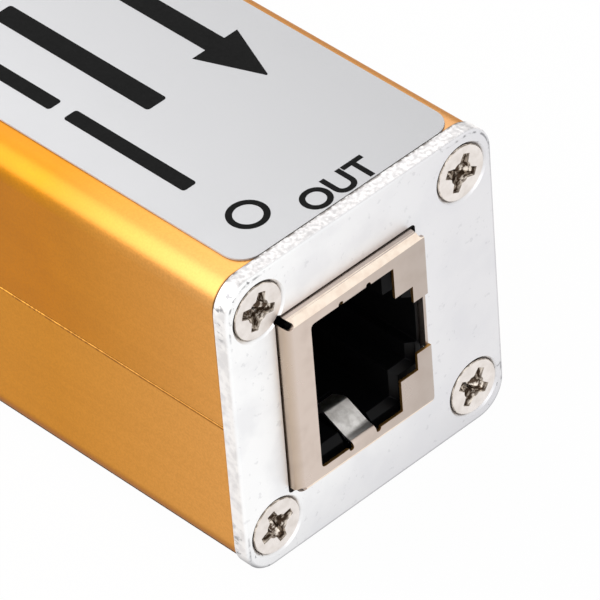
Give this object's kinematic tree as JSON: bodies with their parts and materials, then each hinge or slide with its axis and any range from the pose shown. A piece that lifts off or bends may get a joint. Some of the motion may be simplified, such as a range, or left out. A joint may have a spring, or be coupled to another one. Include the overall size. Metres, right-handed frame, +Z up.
{
  "type": "ethernet surge protector",
  "caption": "Square aluminium case with a countersunk end plate and a shielded network socket at each end, which passes a data line through surge arresters.",
  "frame": {"origin": "middle of the case's length and width, at the lower edges of the end plates", "axes": "+X along the case towards the outgoing socket, +Y across it from the sockets' contacts towards their latches, +Z up through the label"},
  "size_m": [0.0852, 0.0262, 0.0266],
  "materials": {
    "gold_anodised": "gold anodised, satin, with faint extrusion lines",
    "bare_aluminium": "bare, finely blasted, with a rough cut edge",
    "screw_nickel": "nickel plated, satin",
    "shield_sheet": "nickel plated sheet, satin",
    "socket_plastic": "black, moulded",
    "contact_metal": "gilt spring wire",
    "board_laminate": "green solder mask",
    "arrester_ceramic": "white ceramic with tinned electrodes",
    "package_plastic": "black moulding compound",
    "label_film": "silver film label, matt"
  },
  "bodies": {
    "root": {"upper_shell": "gold_anodised", "lower_shell": "gold_anodised", "label": "label_film", "end_plate_out": "bare_aluminium", "plate_screw_out_1": "screw_nickel", "plate_screw_out_2": "screw_nickel", "plate_screw_out_3": "screw_nickel", "plate_screw_out_4": "screw_nickel", "jack_shield_out": "shield_sheet", "jack_housing_out": "socket_plastic", "contact_carrier_out": "socket_plastic", "contact_out_1": "contact_metal", "contact_out_2": "contact_metal", "contact_out_3": "contact_metal", "contact_out_4": "contact_metal", "contact_out_5": "contact_metal", "contact_out_6": "contact_metal", "contact_out_7": "contact_metal", "contact_out_8": "contact_metal", "end_plate_in": "bare_aluminium", "plate_screw_in_1": "screw_nickel", "plate_screw_in_2": "screw_nickel", "plate_screw_in_3": "screw_nickel", "plate_screw_in_4": "screw_nickel", "jack_shield_in": "shield_sheet", "jack_housing_in": "socket_plastic", "contact_carrier_in": "socket_plastic", "contact_in_1": "contact_metal", "contact_in_2": "contact_metal", "contact_in_3": "contact_metal", "contact_in_4": "contact_metal", "contact_in_5": "contact_metal", "contact_in_6": "contact_metal", "contact_in_7": "contact_metal", "contact_in_8": "contact_metal", "circuit_board": "board_laminate", "gas_tube_1": "arrester_ceramic", "gas_tube_2": "arrester_ceramic", "gas_tube_3": "arrester_ceramic", "gas_tube_4": "arrester_ceramic", "diode_array_1": "package_plastic", "diode_array_2": "package_plastic", "diode_array_3": "package_plastic", "diode_array_4": "package_plastic"}
  },
  "joints": []
}
